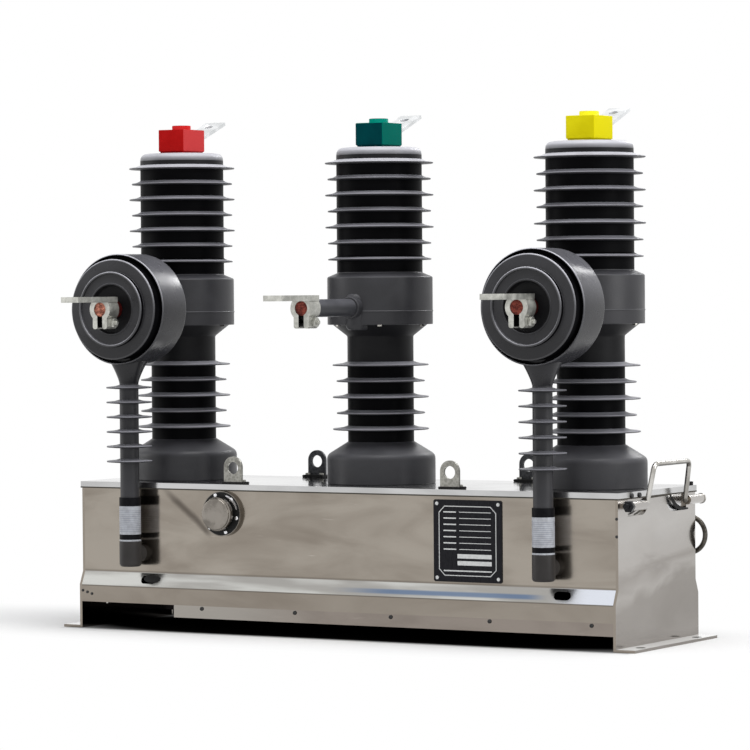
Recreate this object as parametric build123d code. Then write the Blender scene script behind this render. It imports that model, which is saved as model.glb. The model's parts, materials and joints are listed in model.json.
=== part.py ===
from build123d import *
from math import atan2, cos, radians, tan
import os

# An outdoor pole-mounted vacuum circuit breaker for a 12 kV line. Three moulded poles stand in
# a row on a stainless steel mechanism housing, and a ring current transformer sits on the lower
# terminal of each outer pole. All sizes are in millimetres.
# The origin is on the floor, at the centre of the four foot holes. +X runs along the row of
# poles, -Y is the front with the line terminals, and +Z is up.

# Sizes of the housing
phase_spacing = 340.0
housing_margin = 101.5
housing_depth = 238.0
housing_height = 215.0
sheet = 2.0
end_plate_thickness = 4.0
lid_rim = 9.0
lid_overhang = 1.6
ledge_top_height = 83.0
ledge_height = 19.0
ledge_reach = 8.5
ledge_hole_length = 26.0
ledge_hole_width = 11.0
ledge_hole_shift = 18.0
band_bottom_height = 39.0
pan_bottom_height = 17.0
pan_setback = 1.5
pan_notch_length = 158.0
pan_notch_depth = 110.0
seat_gap = 0.3

# Sizes of the feet, and of the bosses that the handle turns in
foot_width = 29.0
foot_hole_radius = 7.0
foot_hole_inset = 12.0
foot_hole_pitch = 174.0
boss_radius = 6.5
boss_length = 50.0
boss_drop = 18.0
boss_stand = 13.5
boss_gap = 6.0
boss_bottom = 8.0
boss_weld_length = 18.0
pin_end_gap = 2.0
notch_start = 28.0
notch_end = 90.0
notch_drop = 33.0
notch_corner = 20.0

# Sizes of the lifting lugs
lug_width = 30.0
lug_height = 40.0
lug_thickness = 4.0
lug_hole_radius = 9.0
lug_hole_height = 23.5
lug_shift = 9.0

# Sizes of the handle and of the pull ring
handle_rod = 7.0
handle_span = 118.0
handle_height = 56.0
handle_taper = 5.0
handle_lean = 10.0
handle_corner = 9.0
handle_foot_bend = 4.2
pin_clearance = 0.1
ring_radius = 25.5
ring_rod = 7.0
ring_inset = 15.0
ring_drop = 45.0
eye_reach = 20.0
eye_thickness = 4.0
eye_hole_radius = 5.0
eye_rim = 5.0

# Sizes of the nameplate and of the control cable socket
plate_width = 108.0
plate_thickness = 1.5
plate_centre_x = 209.0
plate_drop = 14.0
plate_gap = 4.0
plate_corner = 2.0
socket_x = -194.0
socket_drop = 42.0
socket_flange_radius = 32.5
socket_flange_thickness = 6.0
socket_neck_radius = 20.0
socket_neck_length = 4.0
socket_cap_radius = 24.0
socket_cap_length = 14.0
socket_cap_edge = 2.0

# Sizes of a pole, with heights above the lid
base_radius = 78.0
base_height = 41.0
neck_radius = 47.5
base_shoulder = 11.0
neck_height = 60.0
collar_radius = 75.7
collar_below = 24.5
seam_below = 5.5
collar_above = 43.5
collar_lip = 7.5
collar_cone = 16.5
collar_chamfer = 6.0
collar_rounding = 3.0
body_radius = 61.4
pole_height = 481.5
top_shoulder = 12.0
shed_tip = 2.0
shed_root_above = 5.2
shed_root_below = 2.0
lower_shed_start = 18.0
lower_shed_gap = 41.5
lower_shed_count = 5
lower_shed_radii = (69.0, 63.5)
upper_shed_start = 25.5
upper_shed_gap = 22.0
upper_shed_count = 7
upper_shed_radii = (74.2, 77.8)

# Sizes of the lower terminal, with its height above the lid
terminal_height = 252.5
boss_ring_radius = 16.8
boss_ring_reach = 11.0
nose_radius = 21.0
nose_reach = 8.0
nose_below = 32.0
nose_above = 20.0
sleeve_seat = 30.0
sleeve_radius = 12.5
sleeve_end = 162.0
outer_sleeve_end = 190.0
rod_radius = 10.2
rod_end = 213.5
clamp_front = 215.0
clamp_depth = 24.0
clamp_radius = 17.4
clamp_leg_drop = 28.0
clamp_leg_width = 24.5
clamp_leg_corner = 3.5
clamp_slit = 8.0
bar_width = 30.0
bar_thickness = 8.0
bar_rise = 10.2
bar_end = 289.0
bar_hole_radius = 6.5
bar_hole_inset = 20.0

# Sizes of the cap and the bar on top of a pole
cap_width = 45.0
cap_depth = 56.0
cap_height = 35.0
cap_wall = 2.8
cap_lip_height = 3.2
cap_lip_inset = 2.0
cap_corner = 1.5
cap_knob_radius = 13.8
cap_knob_height = 6.5
notch_clearance = 1.5
post_radius = 14.0
top_bar_width = 34.0
top_bar_thickness = 5.0
top_bar_slope = 21.5
top_bar_end = 93.0
top_bar_rise = 21.5
top_bar_tail = 10.0
top_bar_hole_radius = 6.5
top_bar_hole_pitch = 32.0
top_bar_hole_inset = 20.0

# Sizes of a current transformer
drum_radius = 80.0
drum_back = 105.0
drum_front = 171.0
drum_back_edge = 6.0
drum_rim = 2.0
drum_groove_depth = 9.0
drum_step_radius = 72.5
drum_step_edge = 2.0
drum_face = 183.0
face_ring_outer = 54.5
face_ring_reach = 7.0
face_ring_width = 3.5
face_ring_recess = 3.5
face_bore_radius = 35.5
face_bore_edge = 2.0
face_bore_depth = 7.0
bush_clearance = 0.3
stem_wall_gap = 8.0
stem_radius = 13.8
flare_top_width = 76.0
flare_top_depth = 42.0
flare_top_corner = 12.0
flare_top_sink = 22.0
flare_width = 30.0
flare_drop = 107.5
flare_corner = 13.5
stem_shed_start = 6.0
stem_shed_root_above = 4.0
stem_shed_root_below = 2.6
stem_shed_pitch = 21.4
stem_shed_count = 6
stem_shed_radius = 33.0
stem_sleeve_radius = 16.0
stem_sleeve_length = 37.0
stem_sleeve_edge = 3.0
stem_foot_gap = 11.0
elbow_radius = 12.5
elbow_rise = 18.0

# Places worked out from the sizes
half_length = phase_spacing + housing_margin
half_depth = housing_depth / 2
pole_places = {"a": -phase_spacing, "b": 0.0, "c": phase_spacing}
outer_poles = ("a", "c")
lid_top = housing_height
terminal_z = lid_top + terminal_height
foot_hole_x = half_length + foot_width - foot_hole_inset
inner_half_length = half_length - end_plate_thickness
lid_skirt_top = lid_top - sheet
ledge_bottom = ledge_top_height - ledge_height
collar_bottom = terminal_height - collar_below
collar_seam = terminal_height - seam_below
collar_top = terminal_height + collar_above
lug_offset = phase_spacing / 2 + lug_shift
flare_bottom = terminal_height - flare_drop
stem_y = half_depth + stem_wall_gap + stem_sleeve_radius
bush_radius = sleeve_radius + bush_clearance
stem_foot = ledge_top_height + stem_foot_gap - lid_top
stem_bottom = stem_foot + stem_sleeve_length

os.makedirs("parts", exist_ok=True)
made = []


def save(solid, name):
    solid.label = name
    export_step(solid, "parts/" + name + ".step")
    made.append(name)


def block(x, y, z):
    """A box from its low and high limits along each axis."""
    size = (x[1] - x[0], y[1] - y[0], z[1] - z[0])
    middle = ((x[0] + x[1]) / 2, (y[0] + y[1]) / 2, (z[0] + z[1]) / 2)
    return Pos(*middle) * Box(*size)


def upright_disc(radius, y_from, y_to, x=0.0, z=0.0):
    """A round bar along Y between two depths."""
    turned = Rot(90, 0, 0) * Cylinder(radius, abs(y_to - y_from))
    return Pos(x, (y_from + y_to) / 2, z) * turned


def turned_solid(points):
    """A solid turned about Z from its profile of radius and height."""
    outline = Polyline(*[(r, 0, z) for r, z in points], close=True)
    return revolve(make_face(outline), Axis.Z, 360)


def round_rim(solid, height, rounding):
    """Round the widest edge of a turned solid at one height."""
    rim = solid.edges().filter_by_position(Axis.Z, height - rounding / 4, height + rounding / 4)
    return fillet(rim.filter_by(GeomType.CIRCLE).sort_by(SortBy.RADIUS)[-1], rounding)


# The stainless steel housing


def side_profile(shift=0.0):
    """Half section of the front wall from the lid down, as depth and height."""
    d = half_depth - shift
    slope_drop = shift * tan(atan2(ledge_reach, ledge_height) / 2)
    return [
        (d, lid_skirt_top),
        (d, ledge_top_height - slope_drop),
        (d + ledge_reach, ledge_bottom - slope_drop),
        (d + ledge_reach, band_bottom_height),
    ]


def folded_panel():
    """The front wall: one folded sheet with a sloping ledge that has two cable holes."""
    points = [(0, -d, z) for d, z in side_profile() + side_profile(sheet)[::-1]]
    length = 2 * inner_half_length
    panel = extrude(make_face(Polyline(*points, close=True)), length, dir=(1, 0, 0))
    panel = Pos(-length / 2, 0, 0) * panel
    middle = (ledge_top_height + ledge_bottom) / 2
    for name in outer_poles:
        hole = Plane.XZ * Pos(pole_places[name] + ledge_hole_shift, middle) * SlotOverall(
            ledge_hole_length, ledge_hole_width)
        panel -= extrude(hole, half_depth + 2 * ledge_reach)
    return panel


def lid():
    """A shallow tray turned upside down, whose rims hang over the four walls."""
    end, side = half_length + lid_overhang, half_depth + lid_overhang
    outer = block((-end, end), (-side, side), (lid_top - lid_rim, lid_top))
    hollow_end, hollow_side = half_length + seat_gap / 2, half_depth + seat_gap / 2
    hollow = block((-hollow_end, hollow_end), (-hollow_side, hollow_side),
                   (lid_top - lid_rim, lid_skirt_top))
    return outer - hollow


def housing():
    save(lid(), "lid")
    front = folded_panel()
    save(front, "front_panel")
    save(mirror(front, Plane.XZ), "back_panel")
    floor_depth = half_depth + ledge_reach - sheet
    floor = block((-inner_half_length, inner_half_length), (-floor_depth, floor_depth),
                  (band_bottom_height, band_bottom_height + sheet))
    save(floor, "bottom_plate")
    save(bottom_pan(), "bottom_pan")


def bottom_pan():
    """The shallow tray below the housing, with a notch at its front left corner."""
    depth = half_depth + ledge_reach - pan_setback
    notch = ((-inner_half_length, pan_notch_length - half_length), (-depth, pan_notch_depth - depth))
    height = (pan_bottom_height, band_bottom_height)
    pan = block((-inner_half_length, inner_half_length), (-depth, depth), height)
    pan -= block(notch[0], notch[1], height)
    hollow = block((sheet - inner_half_length, inner_half_length - sheet), (sheet - depth, depth - sheet),
                   (pan_bottom_height + sheet, band_bottom_height))
    wall = block((notch[0][0], notch[0][1] + sheet), (notch[1][0], notch[1][1] + sheet), height)
    return pan - (hollow - wall)


def end_plate(has_bosses):
    """An end plate: its outline follows the walls, and its foot turns outwards."""
    right = side_profile()[:-1] + [(half_depth + ledge_reach, 0.0)]
    points = [(0, d, z) for d, z in right] + [(0, -d, z) for d, z in reversed(right)]
    plate = extrude(make_face(Polyline(*points, close=True)), end_plate_thickness, dir=(1, 0, 0))
    plate = Pos(inner_half_length, 0, 0) * plate
    foot = block((inner_half_length, half_length + foot_width),
                 (-half_depth - ledge_reach, half_depth + ledge_reach), (0, end_plate_thickness))
    plate += foot
    for side in (-1, 1):
        hole = Pos(foot_hole_x, side * foot_hole_pitch / 2, end_plate_thickness / 2)
        plate -= hole * Cylinder(foot_hole_radius, 3 * end_plate_thickness)
        if has_bosses:
            plate = with_boss(plate - notch(side), side)
    return plate


def notch(side):
    """The cut-out below the lid that one leg of the handle swings in front of."""
    middle, width = side * (notch_start + notch_end) / 2, notch_end - notch_start
    outline = Pos(middle, lid_top - notch_drop / 2) * Rectangle(width, notch_drop)
    inner = outline.vertices().group_by(Axis.Y)[0].sort_by(Axis.X)[0 if side > 0 else -1]
    outline = fillet(inner, notch_corner)
    return Pos(half_length, 0, 0) * extrude(Plane.YZ * outline, -end_plate_thickness)


def with_boss(plate, side):
    """Weld one boss with its web to the plate, and bore it for the end of the handle."""
    x = half_length + boss_stand
    z = lid_top - boss_drop
    start = side * (handle_span / 2 + boss_gap)
    stop = side * (handle_span / 2 + boss_length)
    plate += upright_disc(boss_radius, start, stop, x, z)
    plate += block((half_length, x), sorted((stop - side * boss_weld_length, stop)),
                   (z - boss_radius / 2, z + boss_radius / 2))
    bore_end = stop - side * boss_bottom
    return plate - upright_disc(handle_rod / 2 + pin_clearance, start, bore_end, x, z)


def lifting_lug():
    """A flat plate with a rounded top and one hole, standing on the lid."""
    rise = lug_height - lug_width / 2
    outline = Pos(0, rise / 2) * Rectangle(lug_width, rise) + Pos(0, rise) * Circle(lug_width / 2)
    outline -= Pos(0, lug_hole_height) * Circle(lug_hole_radius)
    return extrude(Plane.XZ * outline, lug_thickness / 2, both=True)


def lifting_lugs():
    lug = lifting_lug()
    lug_y = half_depth - lug_thickness
    for side, x in (("left", -lug_offset), ("right", lug_offset)):
        save(Pos(x, -lug_y, lid_top) * lug, "lifting_lug_front_" + side)
        save(Pos(x, lug_y, lid_top) * lug, "lifting_lug_back_" + side)


# The loose parts of the housing


def lift_handle():
    """A bent rod whose ends turn outwards into the bosses of the end plate."""
    half = handle_span / 2
    pin = boss_length - boss_bottom - pin_end_gap
    axis_x = half_length + boss_stand
    axis_z = lid_top - boss_drop
    top = half - handle_taper
    points = [(0, -half - pin, 0), (0, -half, 0), (0, -top, handle_height),
              (0, top, handle_height), (0, half, 0), (0, half + pin, 0)]
    path = FilletPolyline(*points, radius=(handle_foot_bend, handle_corner, handle_corner,
                                          handle_foot_bend))
    start = Plane(origin=path @ 0, z_dir=path % 0)
    rod = sweep(start * Circle(handle_rod / 2), path=path)
    return Pos(axis_x, 0, axis_z) * Rot(0, handle_lean, 0) * rod


def pull_ring_pieces():
    """The ring of the hand trip, hanging in its eye behind the housing."""
    wire_y = half_depth + eye_reach - eye_hole_radius - eye_rim
    wire_z = lid_top - ring_drop
    x = half_length - ring_inset
    torus = Rot(90, 0, 0) * Torus(ring_radius, ring_rod / 2)
    ring = Pos(x, wire_y, wire_z - ring_radius) * torus
    hole_z = wire_z + eye_hole_radius - ring_rod / 2 - seat_gap
    eye_half = eye_hole_radius + eye_rim
    outline = Pos(-(wire_y - half_depth) / 2, 0) * Rectangle(wire_y - half_depth, 2 * eye_half)
    outline += Circle(eye_half)
    outline -= Circle(eye_hole_radius)
    eye = extrude(Plane(origin=(x, wire_y, hole_z), x_dir=(0, 1, 0), z_dir=(1, 0, 0)) * outline,
                  eye_thickness / 2, both=True)
    return ring, eye


def nameplate():
    top, bottom = lid_top - plate_drop, ledge_top_height + plate_gap
    outline = Pos(plate_centre_x, (top + bottom) / 2) * Rectangle(plate_width, top - bottom)
    plate = extrude(Plane.XZ * outline, plate_thickness)
    plate = chamfer(plate.edges().filter_by(Axis.Y), plate_corner)
    return Pos(0, -half_depth, 0) * plate


def control_socket():
    """The cable socket: a round flange with a short neck, closed by a screw cap."""
    z = lid_top - socket_drop
    y = -half_depth
    flange = upright_disc(socket_flange_radius, y, y - socket_flange_thickness, socket_x, z)
    neck_end = y - socket_flange_thickness - socket_neck_length
    flange += upright_disc(socket_neck_radius, y - 1, neck_end, socket_x, z)
    cap_end = neck_end - socket_cap_length
    cap = upright_disc(socket_cap_radius, neck_end, cap_end, socket_x, z)
    cap = chamfer(cap.edges().sort_by(Axis.Y)[0], socket_cap_edge)
    return flange, cap


# A pole


def shed_points(core, heights, radii, below=shed_root_below, above=shed_root_above):
    """Profile of a run of thin rain sheds on a round core, from the lowest up."""
    points = []
    for i, height in enumerate(heights):
        radius = radii[i % len(radii)]
        points += [
            (core, height - below), (radius, height - shed_tip / 2),
            (radius, height + shed_tip / 2), (core, height + above),
        ]
    return points


def spread(start, stop, count):
    """Evenly spaced heights from start to stop."""
    return [start + i * (stop - start) / (count - 1) for i in range(count)]


def lower_insulator():
    """Base, waist with five sheds, and the collar up to its mould seam."""
    sheds = spread(neck_height + lower_shed_start, collar_bottom - collar_cone - lower_shed_gap,
                   lower_shed_count)
    core = turned_solid([
        (0, 0), (base_radius, 0), (base_radius, base_height), (neck_radius, neck_height),
        *shed_points(neck_radius, sheds, lower_shed_radii),
        (neck_radius, collar_bottom - collar_cone), (collar_radius - collar_lip, collar_bottom),
        (collar_radius, collar_bottom), (collar_radius, collar_seam), (0, collar_seam),
    ])
    core = round_rim(core, base_height, base_shoulder)
    return core + terminal_boss(0, collar_seam) - sleeve_hole()


def upper_insulator():
    """Collar above the seam and the body with seven sheds under a rounded top."""
    sheds = spread(collar_top + upper_shed_start, pole_height - upper_shed_gap, upper_shed_count)
    radii = [upper_shed_radii[0]] + [upper_shed_radii[i % 2] for i in range(upper_shed_count - 1)]
    core = turned_solid([
        (0, collar_seam), (collar_radius, collar_seam), (collar_radius, collar_top),
        (body_radius, collar_top + collar_chamfer),
        *shed_points(body_radius, sheds, radii),
        (body_radius, pole_height), (0, pole_height),
    ])
    core = round_rim(core, pole_height, top_shoulder)
    core = round_rim(core, collar_top, collar_rounding)
    return core + terminal_boss(collar_seam, pole_height) - sleeve_hole()


def terminal_boss(bottom, top):
    """The upright half-round bulge on the collar with its round boss, between two heights."""
    low, high = terminal_height - nose_below, terminal_height + nose_above
    nose_y = nose_radius - nose_reach - collar_radius
    bulge = Pos(0, nose_y, (low + high) / 2) * Cylinder(nose_radius, high - low)
    boss_end = -collar_radius - boss_ring_reach
    bulge += upright_disc(boss_ring_radius, nose_y, boss_end, 0, terminal_height)
    return bulge & block((-nose_radius, nose_radius), (boss_end, 0), (bottom, top))


def sleeve_hole():
    return upright_disc(sleeve_radius, sleeve_seat - collar_radius, -sleeve_end, 0,
                        terminal_height)


def terminal_clamp():
    """A split clamp ring with two legs, cast in one with the flat line bar."""
    y_front, y_back = -clamp_front, -(clamp_front - clamp_depth)
    ring = upright_disc(clamp_radius, y_front, y_back)
    ring += block((-clamp_leg_width / 2, clamp_leg_width / 2), (y_front, y_back),
                  (-clamp_leg_drop, 0))
    ring += block((-bar_width / 2, bar_width / 2), (-bar_end, y_back),
                  (bar_rise, bar_rise + bar_thickness))
    ring -= upright_disc(rod_radius, y_front, y_back)
    ring -= block((-clamp_slit / 2, clamp_slit / 2), (y_front, y_back), (-clamp_leg_drop, 0))
    leg_ends = ring.edges().filter_by(Axis.Y).group_by(Axis.Z)[0]
    ring = fillet(leg_ends, clamp_leg_corner)
    hole = Pos(0, -bar_end + bar_hole_inset, bar_rise + bar_thickness / 2)
    ring -= hole * Cylinder(bar_hole_radius, 3 * bar_thickness)
    return ring


def top_cap():
    """A moulded box cover on a narrower skirt, open below and notched at the back for the bar."""
    cap = block((-cap_width / 2, cap_width / 2), (-cap_depth / 2, cap_depth / 2),
                (cap_lip_height, cap_height))
    cap = fillet(cap.edges().filter_by(Axis.Z), cap_corner)
    cap += Pos(0, 0, cap_lip_height) * Box(
        cap_width - 2 * cap_lip_inset, cap_depth - 2 * cap_lip_inset, 2 * cap_lip_height)
    wall = cap_lip_inset + cap_wall
    cap -= block((wall - cap_width / 2, cap_width / 2 - wall),
                 (wall - cap_depth / 2, cap_depth / 2 - wall), (0, cap_height - cap_wall))
    notch_half = top_bar_thickness + notch_clearance
    cap -= block((wall - cap_width / 2, cap_width / 2 - wall), (0, cap_depth),
                 (top_bar_rise - notch_half, top_bar_rise + notch_half))
    cap += Pos(0, 0, cap_height + cap_knob_height / 2) * Cylinder(cap_knob_radius, cap_knob_height)
    return cap


def top_bar():
    """The upper terminal: a post with a sloping flat bar that has two holes."""
    slope = radians(top_bar_slope)
    length = (top_bar_end + top_bar_tail) / cos(slope)
    bar = Pos(0, length / 2 - top_bar_tail / cos(slope), 0) * Box(
        top_bar_width, length, top_bar_thickness)
    end = top_bar_end / cos(slope)
    for step in range(2):
        along = end - top_bar_hole_inset - step * top_bar_hole_pitch
        bar -= Pos(0, along, 0) * Cylinder(top_bar_hole_radius, 3 * top_bar_thickness)
    bar_start = pole_height + top_bar_rise - (cap_depth / 2) * tan(slope)
    bar = Pos(0, 0, bar_start) * Rot(top_bar_slope, 0, 0) * bar
    post = Pos(0, 0, (pole_height + bar_start) / 2) * Cylinder(post_radius, bar_start - pole_height)
    return bar + post


def pole(name, x):
    place = Pos(x, 0, lid_top)
    at_terminal = Pos(x, 0, terminal_z)
    save(place * lower_insulator(), "lower_insulator_" + name)
    save(place * upper_insulator(), "upper_insulator_" + name)
    sleeve_stop = outer_sleeve_end if name in outer_poles else sleeve_end
    save(at_terminal * upright_disc(sleeve_radius, sleeve_seat - collar_radius, -sleeve_stop),
         "outlet_sleeve_" + name)
    save(at_terminal * upright_disc(rod_radius, -sleeve_stop, -rod_end), "terminal_rod_" + name)
    save(at_terminal * terminal_clamp(), "terminal_clamp_" + name)
    save(Pos(x, 0, lid_top + pole_height) * top_cap(), "phase_cap_" + name)
    save(place * top_bar(), "top_terminal_" + name)


# A current transformer on an outer pole


def transformer_drum():
    """The moulded ring round the conductor, with a stepped front and a flare to the stem."""
    ring_front = drum_face + face_ring_reach
    dish = ring_front - face_ring_recess
    bore_floor = dish - face_bore_depth
    ring_inner = face_ring_outer - face_ring_width
    profile = [
        (bush_radius, drum_back), (drum_radius - drum_back_edge, drum_back),
        (drum_radius, drum_back + drum_back_edge), (drum_radius, drum_front - drum_rim),
        (drum_radius - drum_rim, drum_front), (drum_step_radius, drum_front - drum_groove_depth),
        (drum_step_radius, drum_face - drum_step_edge), (drum_step_radius - drum_step_edge, drum_face),
        (face_ring_outer, drum_face), (face_ring_outer, ring_front), (ring_inner, ring_front),
        (ring_inner, dish), (face_bore_radius, dish),
        (face_bore_radius - face_bore_edge, bore_floor), (bush_radius, bore_floor),
    ]
    drum = Rot(90, 0, 0) * turned_solid(profile)
    top = Plane.XY.offset(flare_top_sink - drum_radius)
    bottom = Plane.XY.offset(-flare_drop)
    flare = loft([
        Pos(0, -stem_y, 0) * (top * RectangleRounded(
            flare_top_width, flare_top_depth, flare_top_corner)),
        Pos(0, -stem_y, 0) * (bottom * RectangleRounded(flare_width, flare_width, flare_corner)),
    ])
    return drum + flare


def transformer_stem():
    """The thin column under the drum, with six small sheds."""
    top = flare_bottom - stem_shed_start
    sheds = spread(top - (stem_shed_count - 1) * stem_shed_pitch, top, stem_shed_count)
    return turned_solid([
        (0, stem_bottom), (stem_radius, stem_bottom),
        *shed_points(stem_radius, sheds, [stem_shed_radius], stem_shed_root_below,
                     stem_shed_root_above),
        (stem_radius, flare_bottom), (0, flare_bottom),
    ])


def transformer_foot():
    """The lower sleeve of the stem and its elbow into the front wall."""
    foot = turned_solid([
        (0, stem_foot), (stem_sleeve_radius - stem_sleeve_edge, stem_foot),
        (stem_sleeve_radius, stem_foot + stem_sleeve_edge),
        (stem_sleeve_radius, stem_bottom), (0, stem_bottom),
    ])
    elbow = upright_disc(elbow_radius, 0, stem_y - half_depth, 0, stem_foot + elbow_rise)
    return foot + elbow


def current_transformer(name, x):
    save(Pos(x, 0, terminal_z) * transformer_drum(), "transformer_" + name)
    place = Pos(x, -stem_y, lid_top)
    save(place * transformer_stem(), "transformer_stem_" + name)
    save(place * transformer_foot(), "transformer_foot_" + name)


housing()
save(end_plate(has_bosses=True), "end_plate_right")
save(mirror(end_plate(has_bosses=False), Plane.YZ), "end_plate_left")
lifting_lugs()
save(lift_handle(), "lift_handle")
pull_ring, pull_ring_eye = pull_ring_pieces()
save(pull_ring, "pull_ring")
save(pull_ring_eye, "pull_ring_eye")
save(nameplate(), "nameplate")
socket_flange, socket_cap = control_socket()
save(socket_flange, "socket_flange")
save(socket_cap, "socket_cap")
for pole_name, pole_x in pole_places.items():
    pole(pole_name, pole_x)
for pole_name in outer_poles:
    current_transformer(pole_name, pole_places[pole_name])
print(len(made), "pieces written")
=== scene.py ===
import json
import math

import bmesh
import bpy
from mathutils import Matrix, Vector


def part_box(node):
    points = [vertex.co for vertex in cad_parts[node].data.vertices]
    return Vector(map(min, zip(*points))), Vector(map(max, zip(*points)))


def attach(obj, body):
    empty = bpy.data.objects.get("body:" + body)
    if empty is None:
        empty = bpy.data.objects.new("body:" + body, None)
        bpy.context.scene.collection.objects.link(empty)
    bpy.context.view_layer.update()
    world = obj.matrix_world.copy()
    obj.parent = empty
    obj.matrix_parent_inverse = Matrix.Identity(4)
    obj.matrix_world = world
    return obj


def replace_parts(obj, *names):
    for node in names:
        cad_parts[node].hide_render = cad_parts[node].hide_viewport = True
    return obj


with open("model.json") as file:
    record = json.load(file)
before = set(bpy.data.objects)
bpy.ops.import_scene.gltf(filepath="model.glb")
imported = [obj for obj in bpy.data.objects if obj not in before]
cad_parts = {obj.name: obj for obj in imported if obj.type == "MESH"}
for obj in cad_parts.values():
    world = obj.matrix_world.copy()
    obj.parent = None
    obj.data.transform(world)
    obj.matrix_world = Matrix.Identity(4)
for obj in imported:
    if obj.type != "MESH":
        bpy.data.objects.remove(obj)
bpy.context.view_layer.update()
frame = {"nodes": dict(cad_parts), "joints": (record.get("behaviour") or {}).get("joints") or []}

mm = 0.001


# The studio: the camera stands where the photographer stood, far back with a long lens. A pale
# floor and soft lamps above, beside and behind light the breaker. The floor turns plain white
# away from the breaker and keeps its shadow close to it. Under the breaker and just beyond its
# footprint it is painted near black, a painted shadow in the gap underneath.

scene = bpy.context.scene
scene.view_settings.view_transform = "Standard"

photo_width = 750
photo_focal_length = 3720
photo_yaw = math.radians(30.788)
photo_pitch = math.radians(1.24)
photo_roll = math.radians(-0.46)
camera_place = (2.729, -4.596, 0.486)

camera_lens = bpy.data.cameras.new("photo_camera")
camera_lens.sensor_width = 36
camera_lens.lens = photo_focal_length / photo_width * camera_lens.sensor_width
camera_lens.clip_end = 60
camera = bpy.data.objects.new("photo_camera", camera_lens)
camera.matrix_world = (Matrix.Translation(camera_place) @ Matrix.Rotation(photo_yaw, 4, "Z")
                       @ Matrix.Rotation(math.radians(90) - photo_pitch, 4, "X")
                       @ Matrix.Rotation(photo_roll, 4, "Z"))
scene.collection.objects.link(camera)
scene.camera = camera


def soft_lamp(name, place, target, width, height, watts):
    """A rectangular soft box that faces the target."""
    lamp = bpy.data.lights.new(name, "AREA")
    lamp.shape = "RECTANGLE"
    lamp.size, lamp.size_y, lamp.energy = width, height, watts
    holder = bpy.data.objects.new(name, lamp)
    aim = (Vector(target) - Vector(place)).to_track_quat("-Z", "Y")
    holder.matrix_world = Matrix.Translation(place) @ aim.to_matrix().to_4x4()
    scene.collection.objects.link(holder)


soft_lamp("top_box", (0.4, -0.5, 2.6), (0, 0, 0.3), 2.4, 1.8, 46)
soft_lamp("left_box", (-3.3, -1.3, 1.1), (0, 0, 0.3), 1.6, 1.8, 20)
soft_lamp("right_box", (2.9, -0.2, 1.2), (0.2, 0, 0.3), 1.3, 1.8, 30)
soft_lamp("back_box", (0.4, 3.0, 2.2), (0, 0, 0.45), 1.1, 0.6, 26)


class Socket:
    """The output of a node, with Python's operators, each of which adds a Math node."""

    def __init__(self, tree, link):
        self.tree = tree
        self.link = link

    def __add__(self, other):
        return reckon("ADD", self, other)

    def __sub__(self, other):
        return reckon("SUBTRACT", self, other)

    def __rsub__(self, other):
        return reckon("SUBTRACT", other, self)

    def __mul__(self, other):
        return reckon("MULTIPLY", self, other)

    def __truediv__(self, other):
        return reckon("DIVIDE", self, other)

    def __abs__(self):
        return reckon("ABSOLUTE", self)

    def __gt__(self, other):
        return reckon("GREATER_THAN", self, other)

    def __lt__(self, other):
        return reckon("LESS_THAN", self, other)

    def spread(self, low, high, to_low=0.0, to_high=1.0):
        """A smooth step between two limits."""
        return add_node(self.tree, "ShaderNodeMapRange", {"interpolation_type": "SMOOTHSTEP"},
                        {"Value": self, "From Min": low, "From Max": high,
                         "To Min": to_low, "To Max": to_high})

    def mix(self, first, second):
        """A colour between two others, with this share of the second."""
        return add_node(self.tree, "ShaderNodeMix", {"data_type": "RGBA"},
                        {0: self, 6: first, 7: second}, 2)


def plug(tree, value, entry):
    """Link a socket to a node's input, or write a number or colour on it."""
    if isinstance(value, Socket):
        tree.links.new(value.link, entry)
    elif entry.type == "RGBA" and len(value) == 3:
        entry.default_value = (*value, 1)
    else:
        entry.default_value = value


def reckon(operation, *values):
    """A Math node on sockets and numbers."""
    tree = next(value.tree for value in values if isinstance(value, Socket))
    return add_node(tree, "ShaderNodeMath", {"operation": operation}, dict(enumerate(values)))


def add_node(tree, kind, settings=None, entries=None, output=0):
    """Any node, by its type: first its settings, then what goes into its sockets."""
    node = tree.nodes.new(kind)
    for label, value in (settings or {}).items():
        if label == "stops":
            for stop in value[2:]:
                node.color_ramp.elements.new(stop[0])
            for element, (place, colour) in zip(node.color_ramp.elements, value):
                element.position = place
                element.color = (*colour, 1)
        else:
            setattr(node, label, value)
    for label, value in (entries or {}).items():
        plug(tree, value, node.inputs[label])
    return Socket(tree, node.outputs[output])


world = bpy.data.worlds.new("white_studio")
scene.world = world
world.use_nodes = True
sky = world.node_tree
sky_light = sky.nodes["Background"]
plug(sky, (0.97, 0.98, 1.0), sky_light.inputs["Color"])
plug(sky, 0.36, sky_light.inputs["Strength"])
sky_seen = add_node(sky, "ShaderNodeBackground", None, {"Color": (1, 1, 1)})
sky_path = sky.nodes.new("ShaderNodeLightPath")
seen = Socket(sky, sky_path.outputs["Is Camera Ray"])
for kind in ("Is Glossy Ray", "Is Transmission Ray"):
    seen = reckon("MAXIMUM", seen, Socket(sky, sky_path.outputs[kind]))
sky_mix = add_node(sky, "ShaderNodeMixShader", None,
                   {0: seen, 1: Socket(sky, sky_light.outputs[0]), 2: sky_seen})
sky.links.new(sky_mix.link, sky.nodes["World Output"].inputs["Surface"])

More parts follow.
